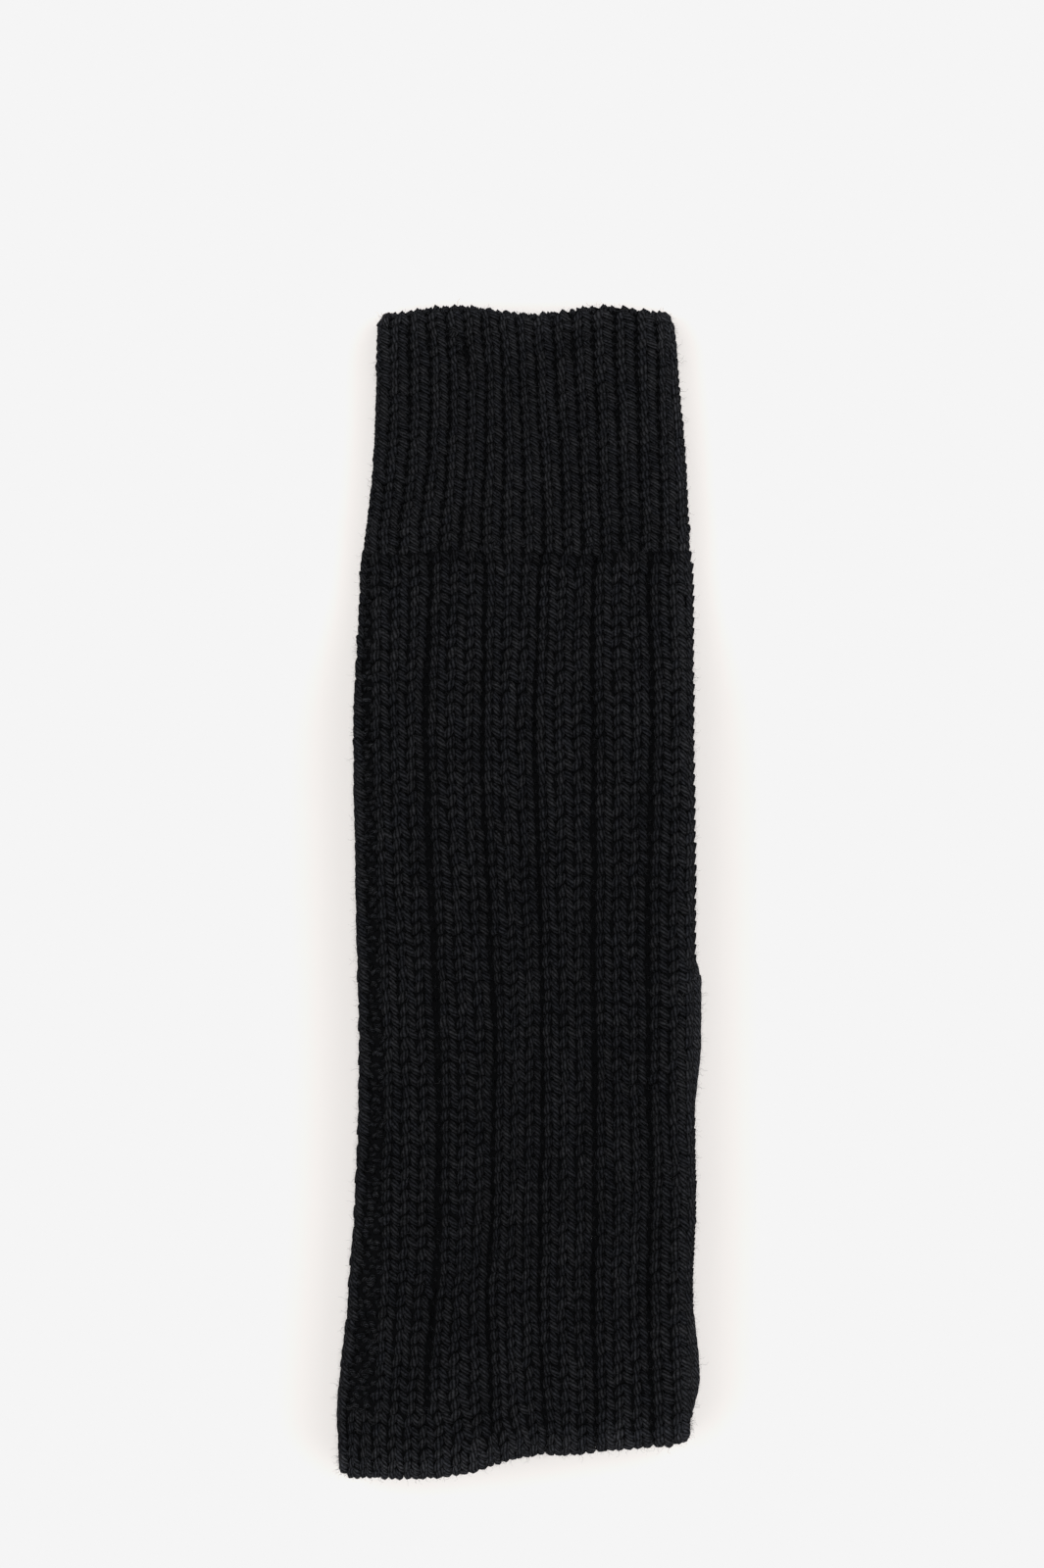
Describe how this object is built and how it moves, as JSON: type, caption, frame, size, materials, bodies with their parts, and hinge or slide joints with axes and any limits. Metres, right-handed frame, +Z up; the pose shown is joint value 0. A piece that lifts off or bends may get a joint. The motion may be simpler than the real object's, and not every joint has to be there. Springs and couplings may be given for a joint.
{
  "type": "pair of ribbed knitted wool socks, laid flat with the feet folded behind",
  "caption": "Pair of chunky ribbed knee-length wool socks, laid flat one on the other, with narrow-rib cuffs, wide-rib legs and feet folded back under the legs at the ankle.",
  "frame": {"origin": "middle of the footprint, on the surface that the socks lie on", "axes": "+Y towards the open cuffs, -Y towards the ankle folds, +Z up out of the stack, +X to the right seen from above with the cuffs at the top"},
  "size_m": [0.1016, 0.3246, 0.027],
  "materials": {
    "black_wool": "matt knitted wool",
    "black_wool_lower": "matt knitted wool"
  },
  "bodies": {
    "root": {"upper_sock": "black_wool", "lower_sock": "black_wool_lower"}
  },
  "joints": []
}
